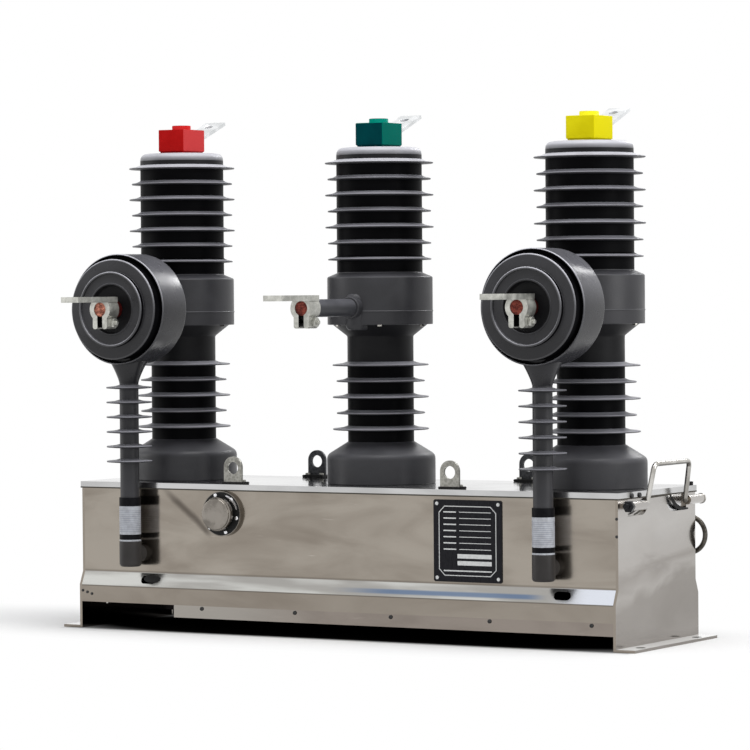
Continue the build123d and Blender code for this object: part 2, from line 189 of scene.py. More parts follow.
floor_reach = 30.0
floor_tone, painted_shadow_tone = (0.9, 0.9, 0.9), (0.012, 0.011, 0.010)
floor_mesh = bpy.data.meshes.new("studio_floor")
floor_mesh.from_pydata([(x * floor_reach, y * floor_reach, 0)
                        for x, y in ((-1, -1), (1, -1), (1, 1), (-1, 1))], [], [(0, 1, 2, 3)])
floor = bpy.data.objects.new("studio_floor", floor_mesh)
scene.collection.objects.link(floor)
floor_paint = bpy.data.materials.new("studio_floor")
floor_paint.use_nodes = True
paint = floor_paint.node_tree
paint.nodes.clear()
floor_spot = add_node(paint, "ShaderNodeTexCoord", output="Object")
off_centre = add_node(paint, "ShaderNodeVectorMath", {"operation": "ABSOLUTE"}, {0: floor_spot})
# A painted shadow: the floor is near black inside the breaker's footprint and fades out just beyond it.
outside = [add_node(paint, "ShaderNodeSeparateXYZ", None, {0: off_centre}, side).spread(inner, outer)
           for side, inner, outer in (("X", 0.452, 0.472), ("Y", 0.118, 0.150))]
floor_matt = add_node(paint, "ShaderNodeBsdfDiffuse", None,
                      {"Color": reckon("MAXIMUM", *outside).mix(painted_shadow_tone, floor_tone)})
floor_white = add_node(paint, "ShaderNodeEmission", None, {"Strength": 1.0})
floor_scaled = add_node(paint, "ShaderNodeMapping", None,
                        {"Vector": floor_spot, "Scale": (0.95, 3.1, 1)})
floor_far = add_node(paint, "ShaderNodeVectorMath", {"operation": "LENGTH"}, {0: floor_scaled},
                     "Value")
floor_mix = add_node(paint, "ShaderNodeMixShader", None,
                     {0: floor_far.spread(0.44, 1.0), 1: floor_matt, 2: floor_white})
floor_out = paint.nodes.new("ShaderNodeOutputMaterial")
paint.links.new(floor_mix.link, floor_out.inputs["Surface"])
floor_mesh.materials.append(floor_paint)


# The housing: folded and welded sheets of polished stainless steel, rolled with a slight wave
# that bends what they mirror. The lid looks almost white. The walls are painted a warm grey, a
# painted reflection of a room; the ledge is painted paler, a painted reflection with a painted
# highlight, and the tray underneath is darker, with painted shade in its recess.


class Finish:
    """A material with its shader, and the nodes that vary it over the surface."""

    def __init__(self, name, **settings):
        self.material = bpy.data.materials.new(name)
        self.material.use_nodes = True
        self.tree = self.material.node_tree
        self.shader = self.tree.nodes["Principled BSDF"]
        for label, value in settings.items():
            self.feed(label.replace("_", " "), value)

    def add(self, kind, settings=None, entries=None, output=0):
        return add_node(self.tree, "ShaderNode" + kind, settings, entries, output)

    def place(self, stretch=(1, 1, 1), turn=(0, 0, 0)):
        """The spot on the piece, stretched and turned for a pattern."""
        return self.add("Mapping", None, {"Vector": self.add("TexCoord", output="Object"),
                                          "Scale": stretch, "Rotation": turn})

    def axis(self, letter):
        """Length, depth or height on the breaker, in metres."""
        return self.add("SeparateXYZ", None, {0: self.add("TexCoord", output="Object")}, letter)

    def facing(self, letter):
        """How far the surface faces right, back or up, from -1 to 1."""
        return self.add("SeparateXYZ", None, {0: self.add("TexCoord", output="Normal")}, letter)

    def noise(self, scale, stretch=(1, 1, 1), turn=(0, 0, 0), detail=3, bend=0.0):
        return self.add("TexNoise", None, {"Vector": self.place(stretch, turn), "Scale": scale,
                                           "Detail": detail, "Distortion": bend})

    def feed(self, label, value):
        plug(self.tree, value, self.shader.inputs[label])

    def tint(self, share, first, second):
        """Colour the surface between two colours."""
        self.feed("Base Color", share.mix(first, second))

    def tone(self):
        """The colour that the surface has so far."""
        return Socket(self.tree, self.shader.inputs["Base Color"].links[0].from_socket)

    def gloss(self, cloud, low, high):
        """Vary the roughness between two values with a noise."""
        self.feed("Roughness", cloud.spread(0.3, 0.7, low, high))

    def bump(self, height, depth, strength=1.0):
        self.feed("Normal", self.add("Bump", None, {"Height": height, "Distance": depth,
                                                    "Strength": strength}))


def dress(node, finish):
    """Give a piece of the frame its finish in place of the plain one."""
    for slot in frame["nodes"][node].material_slots:
        slot.link = "OBJECT"
        slot.material = finish.material


def polished_steel(name, dark, light, wave_turn):
    """Mirror-polished sheet: broad soft streaks, fine marks and a slow wave in the surface."""
    steel = Finish(name, Metallic=1.0)
    streaks = steel.noise(5.5, (1, 1, 3.4), wave_turn, 5, 0.7)
    clouds = steel.noise(3.1, (1.2, 1.2, 1.8), (0.3, 0.2, 0.4), 3, 0.4)
    marks = steel.noise(60, (0.35, 0.35, 5), (0.1, 0.25, 0), 4)
    plain = (streaks * 0.62 + clouds * 0.38).spread(0.36, 0.62).mix(dark, light)
    steel.tint(marks.spread(0.68, 0.8, 0.0, 0.35), plain, (0.62, 0.58, 0.53))
    steel.feed("Roughness", clouds.spread(0.3, 0.7, 0.07, 0.17) + marks * 0.06)
    slow_wave = steel.noise(6, (1, 1, 1.3), (0, 0, 0), 2, 0.3)
    steel.bump(slow_wave + streaks * 0.12, 0.0035, 0.5)
    return steel


lid_low, lid_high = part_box("lid")
lid_top = lid_high.z
band_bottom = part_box("front_panel")[0].z
housing_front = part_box("nameplate")[1].y
ledge_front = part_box("front_panel")[0].y
ledge_top_height, ledge_bottom_height, fold_reach = 83 * mm, 64 * mm, 0.6 * mm
# The line of a painted reflection beside the socket: where its top end lies, and how it slopes.
reflection_line_top_x, reflection_line_top_z = -294.9 * mm, 205.5 * mm
reflection_line_fall, reflection_line_along = 0.628, 0.778

# The walls' warm grey is a painted reflection of a room; the world they mirror is white.
wall_steel = polished_steel("wall_steel", (0.245, 0.213, 0.179), (0.355, 0.320, 0.276), (0, 0.16, 0))
height, along = wall_steel.axis("Z"), wall_steel.axis("X")
in_front = wall_steel.axis("Y") < 0.0
on_ledge = (height > ledge_bottom_height - fold_reach) * (height < ledge_top_height + fold_reach)
below_ledge = height < ledge_bottom_height - fold_reach
# On the ledge the steel is painted paler, a painted reflection, with a blue streak that is a painted
# reflection of sky and a painted highlight at its right end.
ledge_streaks = wall_steel.noise(9, (0.5, 1, 4), (0, 0, 0), 3)
ledge_tone = ledge_streaks.spread(0.4, 0.64).mix((0.37, 0.36, 0.34), (0.60, 0.60, 0.575))
sky_streak_band = abs(height - 70.5 * mm).spread(4.6 * mm, 1.6 * mm) * in_front
painted_light_share = along.spread(-0.02, 0.09) * along.spread(0.34, 0.30) * sky_streak_band
ledge_tone = (painted_light_share * 0.8).mix(ledge_tone, (0.10, 0.17, 0.30))
ledge_tone = along.spread(0.33, 0.40).mix(ledge_tone, (0.72, 0.75, 0.82))
wall_tone = on_ledge.mix(wall_steel.tone(), ledge_tone)
# The wall below the ledge is darker.
wall_tone = (below_ledge * 0.45).mix(wall_tone, (0.22, 0.19, 0.16))
# Dark lines along the ledge's two folds are painted shade.
lower_fold_shade = abs(height - 63.0 * mm).spread(1.3 * mm, 0.4 * mm, 0.0, 0.6)
upper_fold_shade = abs(height - 84.6 * mm).spread(2.4 * mm, 0.4 * mm, 0.0, 0.4)
wall_tone = (lower_fold_shade + upper_fold_shade).mix(wall_tone, (0.085, 0.072, 0.060))
# A soft dark diagonal line beside the socket is a painted reflection, bent by the sheet's wave.
reflection_line_x, reflection_line_z = along - reflection_line_top_x, height - reflection_line_top_z
reflection_line_wander = (wall_steel.noise(26, detail=4) - 0.5) * 0.007
reflection_line_off = abs(reflection_line_x * reflection_line_fall + reflection_line_z * reflection_line_along + reflection_line_wander)
reflection_line_run = reflection_line_x * reflection_line_along - reflection_line_z * reflection_line_fall
painted_reflection_line = (reflection_line_off.spread(8 * mm, 0.5 * mm, 0.0, 0.85) * reflection_line_run.spread(-0.004, 0.03, 0.25, 0.8)
          * reflection_line_run.spread(0.108, 0.09) * in_front)
wall_steel.tint(painted_reflection_line, wall_tone, (0.055, 0.045, 0.038))
for node in ("front_panel", "back_panel"):
    dress(node, wall_steel)

end_steel = polished_steel("end_steel", (0.235, 0.215, 0.195), (0.36, 0.338, 0.315), (0.5, 0, 0))
# The end faces carry soft light and dark bands by height, a painted reflection; their faces that look to
# the front are painted the walls' warm grey, the same painted reflection.
brushed = end_steel.noise(5, (1, 1, 2.6), (0.45, 0, 0), 4, 1.2)
reflection_band_height = (end_steel.axis("Z") - end_steel.axis("Y") * 0.10 + (brushed - 0.5) * 0.09) * 4.6
painted_reflection_bands = end_steel.add("ValToRGB", {"stops": (
    (0.0, (0.25, 0.23, 0.21)), (0.33, (0.29, 0.27, 0.248)), (0.40, (0.44, 0.42, 0.395)),
    (0.49, (0.33, 0.308, 0.285)), (0.57, (0.47, 0.45, 0.425)), (0.80, (0.52, 0.505, 0.485)),
    (1.0, (0.42, 0.405, 0.39)))}, {"Fac": reflection_band_height})
face_tone = end_steel.add("Mix", {"data_type": "RGBA"}, {0: 0.72, 6: end_steel.tone(), 7: painted_reflection_bands}, 2)
edge_tone = (end_steel.facing("Y") < -0.6).mix(face_tone, (0.29, 0.256, 0.218))
# The top of the feet is painted near white and not metal: painted top light.
painted_lit_foot_top = (end_steel.facing("Z") > 0.6) * (end_steel.axis("Z") < 12 * mm)
end_steel.tint(painted_lit_foot_top, edge_tone, (0.97, 0.97, 0.96))
end_steel.feed("Metallic", 1.0 - painted_lit_foot_top)
for node in ("end_plate_left", "end_plate_right"):
    dress(node, end_steel)

lid_steel = polished_steel("lid_steel", (0.44, 0.44, 0.44), (0.60, 0.60, 0.60), (0, 0, 0.2))
dress("lid", lid_steel)

tray_steel = polished_steel("tray_steel", (0.20, 0.172, 0.150), (0.275, 0.240, 0.212), (0, 0.05, 0))
# The tray is paler towards its left end. Everything set back inside the outer skin of the front and back
# is painted near black: painted shade in the recess under the housing.
tray_tone = tray_steel.axis("X").spread(0.0, -0.2, 0.0, 0.75).mix(tray_steel.tone(),
                                                                  (0.37, 0.35, 0.32))
tray_steel.tint(abs(tray_steel.axis("Y")) < 124.6 * mm, tray_tone, (0.006, 0.005, 0.005))
dress("bottom_plate", tray_steel)


# The tray and the small screws: the folded pan under the housing is held by a row of black round
# heads along the lower strip of both long sides. Two more sit at the right corner of the front,
# and three rivets at the left end of its strip.


def new_tree(name, inputs):
    """A Geometry Nodes tree with one geometry output, and the sockets of its named inputs."""
    tree = bpy.data.node_groups.new(name, "GeometryNodeTree")
    tree.interface.new_socket("Geometry", in_out="OUTPUT", socket_type="NodeSocketGeometry")
    for label, kind in inputs.items():
        tree.interface.new_socket(label, in_out="INPUT", socket_type="NodeSocket" + kind)
    source = tree.nodes.new("NodeGroupInput")
    return tree, {label: Socket(tree, source.outputs[label]) for label in inputs}


def set_out(tree, given, points, **extra):
    """Put a copy of the piece on every point."""
    piece = add_node(tree, "GeometryNodeObjectInfo", None, {"Object": given["Piece"]}, "Geometry")
    return add_node(tree, "GeometryNodeInstanceOnPoints", None,
                    {"Points": points, "Instance": piece, **extra})


def end_tree(tree, given, copies):
    """Make the copies real, give them their finish and send them out."""
    real = add_node(tree, "GeometryNodeRealizeInstances", None, {0: copies})
    coated = add_node(tree, "GeometryNodeSetMaterial", None,
                      {"Geometry": real, "Material": given["Finish"]})
    tree.links.new(coated.link, tree.nodes.new("NodeGroupOutput").inputs[0])


row_tree, row = new_tree("row_of_copies", {"Piece": "Object", "Count": "Int", "First": "Vector",
                                           "Step": "Vector", "Finish": "Material"})
row_line = add_node(row_tree, "GeometryNodeMeshLine", None,
                    {"Count": row["Count"], "Start Location": row["First"], "Offset": row["Step"]})
end_tree(row_tree, row, set_out(row_tree, row, row_line))

ring_tree, ring = new_tree("ring_of_copies", {
    "Piece": "Object", "Count": "Int", "Radius": "Float", "Place": "Vector", "Turn": "Vector",
    "Finish": "Material"})
ring_line = add_node(ring_tree, "GeometryNodeMeshCircle", None,
                     {"Vertices": ring["Count"], "Radius": ring["Radius"]})
ring_share = add_node(ring_tree, "GeometryNodeInputIndex") / ring["Count"]
ring_angles = add_node(ring_tree, "ShaderNodeCombineXYZ", None, {"Z": ring_share * (2 * math.pi)})
ring_turn = add_node(ring_tree, "FunctionNodeEulerToRotation", None, {0: ring_angles})
ring_copies = set_out(ring_tree, ring, ring_line, Rotation=ring_turn)
end_tree(ring_tree, ring, add_node(ring_tree, "GeometryNodeTransform", None, {
    "Geometry": ring_copies, "Translation": ring["Place"], "Rotation": ring["Turn"]}))


def shown(mesh, finish):
    """Show a mesh as a piece of the same name that rides on the breaker."""
    piece = bpy.data.objects.new(mesh.name, mesh)
    scene.collection.objects.link(piece)
    if not mesh.materials:
        mesh.materials.append(finish.material)
    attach(piece, "breaker")
    return piece


def grow(name, tree, finish, slot="bright_fittings", **values):
    """Run a tree with its named inputs, and keep the result as one plain piece."""
    host = bpy.data.objects.new(name + "_host", bpy.data.meshes.new(name + "_host"))
    scene.collection.objects.link(host)
    modifier = host.modifiers.new("copies", "NODES")
    modifier.node_group = tree
    die = bpy.data.objects.new(name + "_die", values["Piece"])
    values.update(Piece=die, Finish=finish.material)
    for entry in tree.interface.items_tree:
        if entry.in_out == "INPUT":
            modifier[entry.identifier] = values[entry.name]
    bpy.context.view_layer.update()
    made = host.evaluated_get(bpy.context.evaluated_depsgraph_get())
    mesh = bpy.data.meshes.new_from_object(made)
    mesh.name = name
    bpy.data.objects.remove(host)
    bpy.data.objects.remove(die)
    return shown(mesh, finish)


def finished(shape, name, sharp_from=35):
    """A shape as a named mesh, smooth up to an angle between its faces, or flat for 0."""
    mesh = bpy.data.meshes.new(name)
    shape.to_mesh(mesh)
    shape.free()
    if sharp_from:
        for face in mesh.polygons:
            face.use_smooth = True
        mesh.set_sharp_from_angle(angle=math.radians(sharp_from))
    return mesh


def skinned(loops, closed=False):
    """A skin over loops of points, where a loop may be one point. An open run gets end faces."""
    shape = bmesh.new()
    count = max(len(loop) for loop in loops)
    rows = [[shape.verts.new(point) for point in loop] * (count // len(loop)) for loop in loops]
    pairs = list(zip(rows, rows[1:]))
    if closed:
        pairs.append((rows[-1], rows[0]))
    for low, high in pairs:
        for k in range(count):
            n = (k + 1) % count
            around = list(dict.fromkeys((low[k], low[n], high[n], high[k])))
            if len(around) > 2:
                shape.faces.new(around)
    for end in () if closed else (rows[0], rows[-1]):
        if len(set(end)) > 2:
            shape.faces.new(end)
    bmesh.ops.recalc_face_normals(shape, faces=shape.faces)
    return shape


def rounded(corners, steps):
    """A profile of (radius, height, rounding) with each rounding drawn as a short curve."""
    points = []
    for i, (r, z, rounding) in enumerate(corners):
        here = Vector((r, z))
        if rounding == 0 or i in (0, len(corners) - 1):
            points.append(here)
            continue
        back = Vector(corners[i - 1][:2]) - here
        ahead = Vector(corners[i + 1][:2]) - here
        reach = min(rounding, back.length * 0.49, ahead.length * 0.49)
        start, stop = here + back.normalized() * reach, here + ahead.normalized() * reach
        for step in range(steps + 1):
            t = step / steps
            points.append((1 - t) ** 2 * start + 2 * t * (1 - t) * here + t ** 2 * stop)
    return points


def turned(name, corners, segments, place=Matrix.Identity(4), closed=False, steps=4):
    """A mesh turned round its own axis from a rounded profile in millimetres."""
    angles = [2 * math.pi * k / segments for k in range(segments)]
    loops = [[(0, 0, z * mm)] if r < 1e-6 else
             [(r * mm * math.cos(a), r * mm * math.sin(a), z * mm) for a in angles]
             for r, z in rounded(corners, steps)]
    shape = skinned(loops, closed)
    shape.transform(place)
    return finished(shape, name)


def at(x, y, z, facing=Matrix.Identity(4)):
    """A place in metres, and the way that a turned mesh faces there."""
    return Matrix.Translation((x, y, z)) @ facing


def merged_copy(node):
    """The shape of a piece of the frame with its flat faces merged."""
    shape = bmesh.new()
    shape.from_mesh(frame["nodes"][node].data)
    bmesh.ops.remove_doubles(shape, verts=shape.verts, dist=1e-6)
    bmesh.ops.dissolve_limit(shape, angle_limit=math.radians(1), verts=shape.verts,
                             edges=shape.edges)
    return shape


def mottled(name, scale, detail, dark, light, gloss=None, bump=None, reach=None,
            stretch=(1, 1, 1), turn=(0, 0, 0), **settings):
    """A finish whose colour follows one noise, and so may its gloss and its grain."""
    finish = Finish(name, **settings)
    cloud = finish.noise(scale, stretch, turn, detail)
    finish.tint(cloud.spread(*reach) if reach else cloud, dark, light)
    if gloss:
        finish.gloss(cloud, *gloss)
    if bump:
        finish.bump(cloud, *bump)
    return finish


tray = merged_copy("bottom_pan")
for corner in tray.verts:
    if corner.co.z < 24 * mm:
        corner.co.z += 4 * mm
    if -290 * mm < corner.co.x < -275 * mm:
        corner.co.x += 7 * mm
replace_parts(shown(finished(tray, "tray_shell", 0), tray_steel), "bottom_pan")

facing_front = Matrix.Rotation(math.radians(90), 4, "X")
facing_back = Matrix.Rotation(math.radians(-90), 4, "X")
screw_steel = mottled("screw_black", 900, 3, (0.012, 0.012, 0.013), (0.07, 0.07, 0.07),
                      Metallic=0.7, Roughness=0.42)
screw_profile = [(0, 0, 0), (2.9, 0, 0.2), (2.9, 1.4, 0.6), (1.4, 2.0, 0.3), (1.3, 1.2, 0.1),
                 (0, 1.2, 0)]
tray_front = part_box("bottom_pan")[0].y
strip_middle = (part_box("bottom_pan")[0].z + band_bottom) / 2 + 2 * mm
plate_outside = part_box("end_plate_right")[1].x - 29 * mm
for name, facing, place, step in (
        ("tray_screws", facing_front, (-0.228, tray_front, strip_middle + 5 * mm), 0.158),
        ("tray_screws_back", facing_back, (-0.323, -tray_front, strip_middle), 0.1615)):
    grow(name, row_tree, screw_steel, Count=5, First=place, Step=(step, 0, 0),
         Piece=turned("screw_head", screw_profile, 24, facing))
corner_screw = turned("corner_screw", [(0, 0, 0), (2.1, 0, 0.1), (2.1, 1.0, 0.5), (0, 1.3, 0)], 16,
                      facing_front)
grow("corner_screws", row_tree, screw_steel, Piece=corner_screw.copy(), Count=2,
     First=(plate_outside - 2 * mm, housing_front, 180 * mm), Step=(0, 0, -24 * mm))
grow("band_rivets", row_tree, screw_steel, Piece=corner_screw, Count=3,
     First=(-0.436, ledge_front, 55 * mm), Step=(8 * mm, 0, -2.2 * mm))


# The seals: a thin dark strip under the rim of the lid, a gasket that also paints the shadow line
# under the rim; rubber on the cut edges of the right end's cut-out, with steel behind it, that
# paints the shade along those edges; a rubber skirt under the back wall, a dark sheet that keeps
# the gap under the housing in painted shade; and an oval grommet on the ledge. All but the steel
# is black rubber, glued or pressed on.

rubber = mottled("rubber", 160, 3, (0.004, 0.004, 0.004), (0.012, 0.012, 0.012), (0.5, 0.7),
                 Specular_IOR_Level=0.2)
# A dark finish for strips that paint shade: under the lid's rim and on the front cut-out's edge.
worn_seal = mottled("worn_seal", 40, 4, (0.025, 0.022, 0.018), (0.085, 0.078, 0.062),
                    Specular_IOR_Level=0.2, Roughness=0.6)


def eased(shape, edges, edge, segments=2):
    """Take the edges of a shape off."""
    bmesh.ops.bevel(shape, geom=edges, offset=edge, segments=segments, affect="EDGES",
                    clamp_overlap=True)


def beveled_box(name, low, high, edge, segments=2):
    """A box between two corners with its edges taken off."""
    shape = bmesh.new()
    bmesh.ops.create_cube(shape, size=1)
    for corner in shape.verts:
        corner.co = Vector(a + (share + 0.5) * (b - a) for a, b, share in zip(low, high, corner.co))
    eased(shape, shape.edges, edge, segments)
    return finished(shape, name)


def edge_trim(name, line, width, depth):
    """A thin strip on the end plate along points of (depth, height, share of full width)."""
    loops = []
    for i, (y, z, share) in enumerate(line):
        before, after = line[max(i - 1, 0)], line[min(i + 1, len(line) - 1)]
        run = Vector((after[0] - before[0], after[1] - before[1])).normalized()
        side = Vector((-run.y, run.x)) * width / 2 * share
        loops.append([(plate_outside + x * mm, (y + s * side.x) * mm, (z + s * side.y) * mm)
                      for x, s in ((-0.3, -1), (depth, -1), (depth, 1), (-0.3, 1))])
    return finished(skinned(loops), name, 0)


# The lid seal is a gasket that also paints the shadow line under the lid's rim.
seal_bottom, seal_top = lid_low.z - 0.6 * mm, lid_low.z + 1.3 * mm
seal_proud, seal_sunk = 0.25 * mm, -1.4 * mm
seal = skinned([[(lid_low.x - reach, lid_low.y - reach, z), (lid_high.x + reach, lid_low.y - reach, z),
                 (lid_high.x + reach, lid_high.y + reach, z), (lid_low.x - reach, lid_high.y + reach, z)]
                for reach, z in ((seal_proud, seal_bottom), (seal_proud, seal_top),
                                 (seal_sunk, seal_top), (seal_sunk, seal_bottom))], closed=True)
eased(seal, seal.edges, 0.2 * mm, 1)
shown(finished(seal, "lid_seal", 0), worn_seal)
for end, near, far, steel in (("front", -94, -24, end_steel), ("back", 24, 94, lid_steel)):
    backing = beveled_box("cutout_backing_" + end,
                          (plate_outside - 5.6 * mm, near * mm, lid_top - 36 * mm),
                          (plate_outside - 4.1 * mm, far * mm, lid_top - 9.5 * mm), 0.3 * mm)
    shown(backing, steel)
# These dark trims on the cut-out's edges paint the shade along them.
shown(edge_trim("cutout_trim_back", [
    (40, 205.5, 0.5), (44, 200.5, 0.9), (50, 194.5, 1.2), (58, 189, 1.3), (68, 185.6, 1.1),
    (80, 184, 0.8), (96, 183.4, 0.4)], 5.2, 0.4), rubber)
shown(edge_trim("cutout_trim_front", [
    (-72, 183.6, 0.5), (-62, 185.4, 0.9), (-50, 189, 0.9), (-40, 194.5, 0.9), (-31, 201.4, 0.9),
    (-22, 205, 0.9), (6, 205.4, 0.8), (40, 205.4, 0.5)], 3.2, 0.4), worn_seal)
# The skirt is a dark sheet that keeps the gap under the housing in painted shade.
shown(beveled_box("back_skirt", (-436 * mm, 108 * mm, 0.3 * mm), (436 * mm, 111 * mm, 20.5 * mm),
                  0.4 * mm), rubber)
on_slope = (Matrix.Rotation(math.radians(66), 4, "X") @ Matrix.Diagonal((1, 0.42, 1, 1)))
shown(turned("ledge_grommet", [(0, 0, 0), (14.2, 0, 0.1), (14.2, 0.7, 0.3), (0, 0.9, 0)], 48,
             at(-316 * mm, ledge_front + 4.6 * mm, 75 * mm, on_slope)), rubber)


# The lifting lugs: flat galvanised plates with one round hole, each welded upright on a short
# foot that stands on a rubber pad, where two small bolts clamp it to the lid. The front two are
# pale galvanised steel; the back two have the same zinc painted dark, a painted shade.


def zinc(name, dark, light):
    """Dull galvanised steel with a small spangle."""
    skin = Finish(name, Metallic=0.55)
    spangle = skin.add("TexVoronoi", None, {"Vector": skin.place(), "Scale": 260})
    cloud = skin.noise(34, detail=4)
    skin.tint((spangle * 0.35 + cloud * 0.8).spread(0.35, 0.8), dark, light)
    skin.gloss(cloud, 0.38, 0.6)
    skin.bump(cloud * 0.6 + spangle * 0.2, 0.0006, 0.5)
    return skin


dull_zinc = zinc("dull_zinc", (0.19, 0.185, 0.165), (0.38, 0.375, 0.34))
# The back lugs get the same zinc painted dark, a painted shade.
dark_zinc = zinc("dark_zinc", (0.02, 0.021, 0.024), (0.07, 0.072, 0.078))
foot_length, foot_depth, foot_thickness = 36 * mm, 15 * mm, 3.6 * mm
bolt_profile = [(0, 0, 0), (4.0, 0, 0.2), (4.0, 2.6, 0.7), (0, 3.0, 0)]
for node in [f"lifting_lug_{side}_{end}" for side in ("front", "back") for end in ("left", "right")]:
    low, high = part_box(node)
    inward = 1 if low.y < 0 else -1
    dress(node, dull_zinc if inward > 0 else dark_zinc)
    middle = (low + high) / 2
    near, far = sorted((middle.y - inward * foot_thickness, middle.y + inward * foot_depth))
    shown(beveled_box(node + "_pad", (middle.x - foot_length / 2, near, lid_top),
                      (middle.x + foot_length / 2, far, lid_top + foot_thickness), 0.8 * mm),
          rubber)
    grow(node + "_bolts", row_tree, dull_zinc,
         Piece=turned("foot_bolt", bolt_profile, 6), Count=2,
         First=(middle.x - 12 * mm, middle.y + inward * 8 * mm, lid_top + foot_thickness),
         Step=(24 * mm, 0, 0))


# The carrying handle and the hand trip: bright stainless round bar, bent cold and polished by
# hand. The handle's ends turn in two welded bosses and are kept there by a nut at the front and a
# pressed cap at the back. The trip ring hangs in a drilled eye. Small studs stand near them.

bright_bar = Finish("bright_bar", Metallic=1.0)
bar_marks = bright_bar.noise(90, (1, 1, 1), (0.4, 0.3, 0.2), 5, 0.5)
bar_cloud = bright_bar.noise(24, detail=3)
bar_tone = (bar_marks * 0.3 + bar_cloud * 0.7).spread(0.35, 0.7).mix((0.40, 0.385, 0.355),
                                                                    (0.66, 0.645, 0.615))
# Painted shade: the bar is painted dark where it faces left or down.
bar_left_shade = bright_bar.facing("X").spread(0.0, -0.45, 0.0, 0.92)
bar_under_shade = bright_bar.facing("Z").spread(0.0, -0.5, 0.0, 0.85)
bright_bar.tint(reckon("MAXIMUM", bar_left_shade, bar_under_shade), bar_tone, (0.055, 0.050, 0.042))
bright_bar.gloss(bar_cloud, 0.12, 0.24)
bright_bar.bump(bar_marks, 0.0002, 0.25)
for node in ("lift_handle", "pull_ring_eye"):
    dress(node, bright_bar)
ring_bar = mottled("ring_bar", 70, 4, (0.022, 0.020, 0.017), (0.115, 0.105, 0.09), (0.22, 0.4),
                   reach=(0.35, 0.7), turn=(0.2, 0.4, 0), Metallic=0.9)
dress("pull_ring", ring_bar)
# The nut and the corner stud are black steel with their upward faces painted pale, a painted highlight.
nut_black = Finish("nut_black", Metallic=0.9, Roughness=0.22)
nut_black.tint(nut_black.facing("Z").spread(0.6, 0.9),
               nut_black.noise(300).mix((0.004, 0.004, 0.005), (0.03, 0.03, 0.032)),
               (0.70, 0.70, 0.72))

handle_joint = next(joint for joint in frame["joints"] if joint["name"] == "handle_turn")
handle_axis = Vector(handle_joint["pos_m"])
boss_end = 109 * mm
facing_right = Matrix.Rotation(math.radians(90), 4, "Y")
facing_left = Matrix.Rotation(math.radians(-90), 4, "Y")
rim_bolt = [(0, 0, 0), (3.6, 0, 0.2), (3.6, 1.8, 0.6), (2.0, 2.4, 0.4), (0, 2.0, 0)]
end_stud = [(0, 0, 0), (5.2, 0, 0.3), (5.2, 3.6, 1.0), (3.2, 5.4, 0.8), (0, 5.6, 0)]
rim_bolt_height, stud_height = 209.6 * mm, lid_top - 17 * mm
for name, profile, sides, place, finish in (
        ("handle_nut", [(0, 0, 0), (8.0, 0, 0), (8.6, 0.8, 0), (8.6, 6.2, 0), (7.6, 7.2, 0.4),
                        (3.6, 7.2, 0.2), (3.4, 9.6, 0.6), (0, 9.9, 0)], 6,
         at(handle_axis.x, -boss_end, handle_axis.z, facing_front), nut_black),
        ("rim_bolt_first", rim_bolt, 20,
         at(lid_high.x, -81 * mm, rim_bolt_height, facing_right), screw_steel),
        ("rim_bolt_second", rim_bolt, 20,
         at(lid_high.x, -57.5 * mm, rim_bolt_height, facing_right), screw_steel),
        ("corner_stud", [(0, 0, 0), (3.8, 0, 0.2), (3.8, 5.4, 1.0), (0, 6.2, 0)], 20,
         at(lid_high.x - 6 * mm, lid_high.y - 7 * mm, lid_top), nut_black),
        ("band_screw_tip", [(0, 36.0, 0), (1.6, 36.2, 0.4), (2.4, 37.6, 0.2), (2.4, 39.4, 0),
                            (0, 39.4, 0)], 16, at(-395 * mm, ledge_front + 4 * mm, 0), bright_bar),
        ("handle_boss_cap", [(0, 0, 0), (7.4, 0, 0.3), (7.4, 2.4, 0.8), (5.6, 5.2, 1.6),
                             (0, 5.8, 0)], 32,
         at(handle_axis.x, boss_end, handle_axis.z, facing_back), bright_bar),
        ("left_end_stud_front", end_stud, 24,
         at(lid_low.x, -105 * mm, stud_height, facing_left), screw_steel),
        ("left_end_stud_back", end_stud, 24,
         at(lid_low.x, 105 * mm, stud_height, facing_left), screw_steel)):
    shown(turned(name, profile, sides, place), finish)


# The nameplate: a black anodised plate riveted to the front wall, with an engraved pale frame
# whose corners are cut off, pale rules where the data would stand, and two bare white fields.

plate_black = mottled("plate_black", 500, 3, (0.006, 0.006, 0.008), (0.018, 0.018, 0.022),
                      (0.24, 0.4), stretch=(1, 1, 0.2), Specular_IOR_Level=0.1)
dress("nameplate", plate_black)
plate_white = mottled("plate_white", 300, 3, (0.55, 0.56, 0.56), (0.80, 0.81, 0.81), Roughness=0.5)
plate_low, plate_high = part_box("nameplate")
plate_half = (plate_high - plate_low) / 2
plate_middle = plate_low + plate_half
plate_face = plate_low.y
mark_depth = 0.25 * mm
frame_inset, frame_line, frame_cut = 8.5 * mm, 1.1 * mm, 9 * mm
rivet_inset = 5.5 * mm
rule_left, rule_top, rule_step = plate_low.x + 16 * mm, plate_high.z - 17 * mm, 8.6 * mm


def plate_mark(name, length, thickness):
    """A flat raised bar that starts at the origin."""
    return beveled_box(name, (0, -mark_depth, -thickness / 2), (length, 0, thickness / 2),
                       0.05 * mm, 1)


